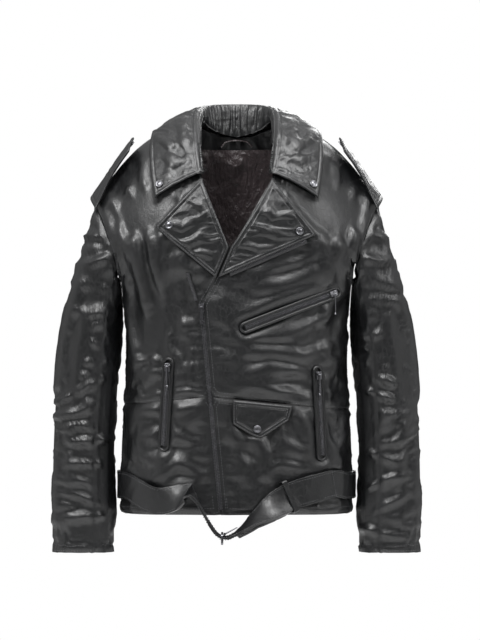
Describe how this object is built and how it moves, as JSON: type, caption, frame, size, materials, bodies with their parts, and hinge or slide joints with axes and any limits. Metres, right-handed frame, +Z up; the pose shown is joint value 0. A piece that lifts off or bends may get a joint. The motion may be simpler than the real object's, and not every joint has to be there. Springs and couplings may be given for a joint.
{
  "type": "leather jacket",
  "caption": "Black leather double-rider jacket hanging by its loop: wide lapels, slanted front zip, zipped pockets, shoulder straps and a hem belt.",
  "frame": {"origin": "middle of the hanger loop at the inside back of the neck, which holds the jacket up", "axes": "+Z up, -Y out of the front, +X to the right of someone looking at the front"},
  "size_m": [0.636, 0.2831, 0.781],
  "materials": {
    "leather": "black semi-gloss full-grain leather, creased",
    "satin": "dark satin lining",
    "zip_tape": "matt woven tape",
    "dark_metal": "dark gunmetal plating"
  },
  "bodies": {
    "jacket": {"back_panel": "leather", "back_yoke": "leather", "belt_buckle": "dark_metal", "belt_buckle_strap": "leather", "belt_keeper": "leather", "belt_loop_left": "leather", "belt_loop_right": "leather", "belt_tip_strap": "leather", "body_lining": "satin", "chest_zip": "dark_metal", "coin_pocket_bag": "satin", "collar_fall": "leather", "collar_left_snap": "dark_metal", "collar_right_snap": "dark_metal", "collar_stand": "leather", "cuff_zip_left": "dark_metal", "cuff_zip_right": "dark_metal", "front_left_lower": "leather", "front_left_upper": "leather", "front_right_lower": "leather", "front_right_upper": "leather", "hand_zip_left": "dark_metal", "hand_zip_right": "dark_metal", "hanger_loop": "leather", "main_zip_open_left": "dark_metal", "main_zip_tape_left": "zip_tape", "main_zip_tape_right": "zip_tape", "main_zip_teeth_left": "dark_metal", "main_zip_teeth_right": "dark_metal", "sleeve_left_lining": "satin", "sleeve_left_outer": "leather", "sleeve_left_under": "leather", "sleeve_right_lining": "satin", "sleeve_right_outer": "leather", "sleeve_right_under": "leather"},
    "main_zip_slider": {"main_zip_slider": "dark_metal"},
    "main_zip_pull": {"main_zip_pull": "dark_metal"},
    "chest_zip_slider": {"chest_zip_slider": "dark_metal"},
    "chest_zip_pull": {"chest_zip_pull": "dark_metal"},
    "hand_zip_left_slider": {"hand_zip_left_slider": "dark_metal"},
    "hand_zip_left_pull": {"hand_zip_left_pull": "dark_metal"},
    "hand_zip_right_slider": {"hand_zip_right_slider": "dark_metal"},
    "hand_zip_right_pull": {"hand_zip_right_pull": "dark_metal"},
    "cuff_zip_left_slider": {"cuff_zip_left_slider": "dark_metal"},
    "cuff_zip_left_pull": {"cuff_zip_left_pull": "dark_metal"},
    "cuff_zip_right_slider": {"cuff_zip_right_slider": "dark_metal"},
    "cuff_zip_right_pull": {"cuff_zip_right_pull": "dark_metal"},
    "coin_flap": {"coin_flap": "leather", "coin_flap_snap": "dark_metal"},
    "lapel_left": {"lapel_left": "leather", "lapel_left_snap": "dark_metal"},
    "lapel_right": {"lapel_right": "leather", "lapel_right_snap": "dark_metal", "lapel_right_zip": "dark_metal"},
    "shoulder_strap_left": {"shoulder_strap_left": "leather", "shoulder_strap_left_snap": "dark_metal"},
    "shoulder_strap_right": {"shoulder_strap_right": "leather", "shoulder_strap_right_snap": "dark_metal"},
    "belt_prong": {"belt_prong": "dark_metal"}
  },
  "joints": [
    {"name": "main_zip_run", "type": "slide", "parent": "jacket", "child": "main_zip_slider", "axis": [0.094, -0.0061, -0.9956], "range_m": [0, 0.325]},
    {"name": "main_zip_pull_flip", "type": "hinge", "parent": "main_zip_slider", "child": "main_zip_pull", "pos_m": [-0.05929, -0.19119, -0.29248], "axis": [-1, 0, 0], "range_deg": [0, 150]},
    {"name": "chest_zip_run", "type": "hinge", "parent": "jacket", "child": "chest_zip_slider", "pos_m": [0.02749, 0.11588, -0.32319], "axis": [0.359, 0, -0.9333], "range_deg": [0, 28.53]},
    {"name": "chest_zip_pull_flip", "type": "hinge", "parent": "chest_zip_slider", "child": "chest_zip_pull", "pos_m": [0.16799, -0.16543, -0.27046], "axis": [-0.8946, -0.4468, 0], "range_deg": [0, 140]},
    {"name": "hand_zip_left_run", "type": "slide", "parent": "jacket", "child": "hand_zip_left_slider", "axis": [-0.057, 0.0086, -0.9983], "range_m": [0, 0.118]},
    {"name": "hand_zip_left_pull_flip", "type": "hinge", "parent": "hand_zip_left_slider", "child": "hand_zip_left_pull", "pos_m": [-0.11779, -0.1826, -0.39344], "axis": [-0.9472, 0.3206, 0], "range_deg": [0, 150]},
    {"name": "hand_zip_right_run", "type": "slide", "parent": "jacket", "child": "hand_zip_right_slider", "axis": [0.0489, 0.0046, -0.9988], "range_m": [0, 0.12]},
    {"name": "hand_zip_right_pull_flip", "type": "hinge", "parent": "hand_zip_right_slider", "child": "hand_zip_right_pull", "pos_m": [0.14138, -0.17269, -0.40741], "axis": [-0.8885, -0.4589, 0], "range_deg": [0, 150]},
    {"name": "cuff_zip_left_run", "type": "slide", "parent": "jacket", "child": "cuff_zip_left_slider", "axis": [0.0031, 0.0928, 0.9957], "range_m": [-0.024, 0.048]},
    {"name": "cuff_zip_left_pull_flip", "type": "hinge", "parent": "cuff_zip_left_slider", "child": "cuff_zip_left_pull", "pos_m": [-0.25043, -0.03984, -0.67316], "axis": [0.9938, -0.111, 0], "range_deg": [0, 150]},
    {"name": "cuff_zip_right_run", "type": "slide", "parent": "jacket", "child": "cuff_zip_right_slider", "axis": [-0.0031, 0.0928, 0.9957], "range_m": [-0.024, 0.048]},
    {"name": "cuff_zip_right_pull_flip", "type": "hinge", "parent": "cuff_zip_right_slider", "child": "cuff_zip_right_pull", "pos_m": [0.25043, -0.03984, -0.67316], "axis": [0.9938, 0.111, 0], "range_deg": [0, 150]},
    {"name": "coin_flap_lift", "type": "hinge", "parent": "jacket", "child": "coin_flap", "pos_m": [0.0445, -0.19, -0.45545], "axis": [-0.992, -0.0784, 0.0992], "range_deg": [0, 110]},
    {"name": "lapel_left_fold", "type": "hinge", "parent": "jacket", "child": "lapel_left", "pos_m": [-0.036, -0.17799, -0.133], "axis": [-0.3547, 0.2156, 0.9098], "range_deg": [0, 32]},
    {"name": "lapel_right_fold", "type": "hinge", "parent": "jacket", "child": "lapel_right", "pos_m": [0.0255, -0.17798, -0.133], "axis": [-0.4945, -0.2007, -0.8457], "range_deg": [0, 32]},
    {"name": "shoulder_strap_left_lift", "type": "hinge", "parent": "jacket", "child": "shoulder_strap_left", "pos_m": [-0.2485, -0.085, -0.112], "axis": [0.2001, -0.9097, -0.3639], "range_deg": [0, 60]},
    {"name": "shoulder_strap_right_lift", "type": "hinge", "parent": "jacket", "child": "shoulder_strap_right", "pos_m": [0.2485, -0.085, -0.112], "axis": [0.2001, 0.9097, 0.3639], "range_deg": [0, 60]},
    {"name": "belt_prong_swing", "type": "hinge", "parent": "jacket", "child": "belt_prong", "pos_m": [-0.01965, -0.21777, -0.6747], "axis": [0, -1, 0], "range_deg": [0, 60]}
  ]
}
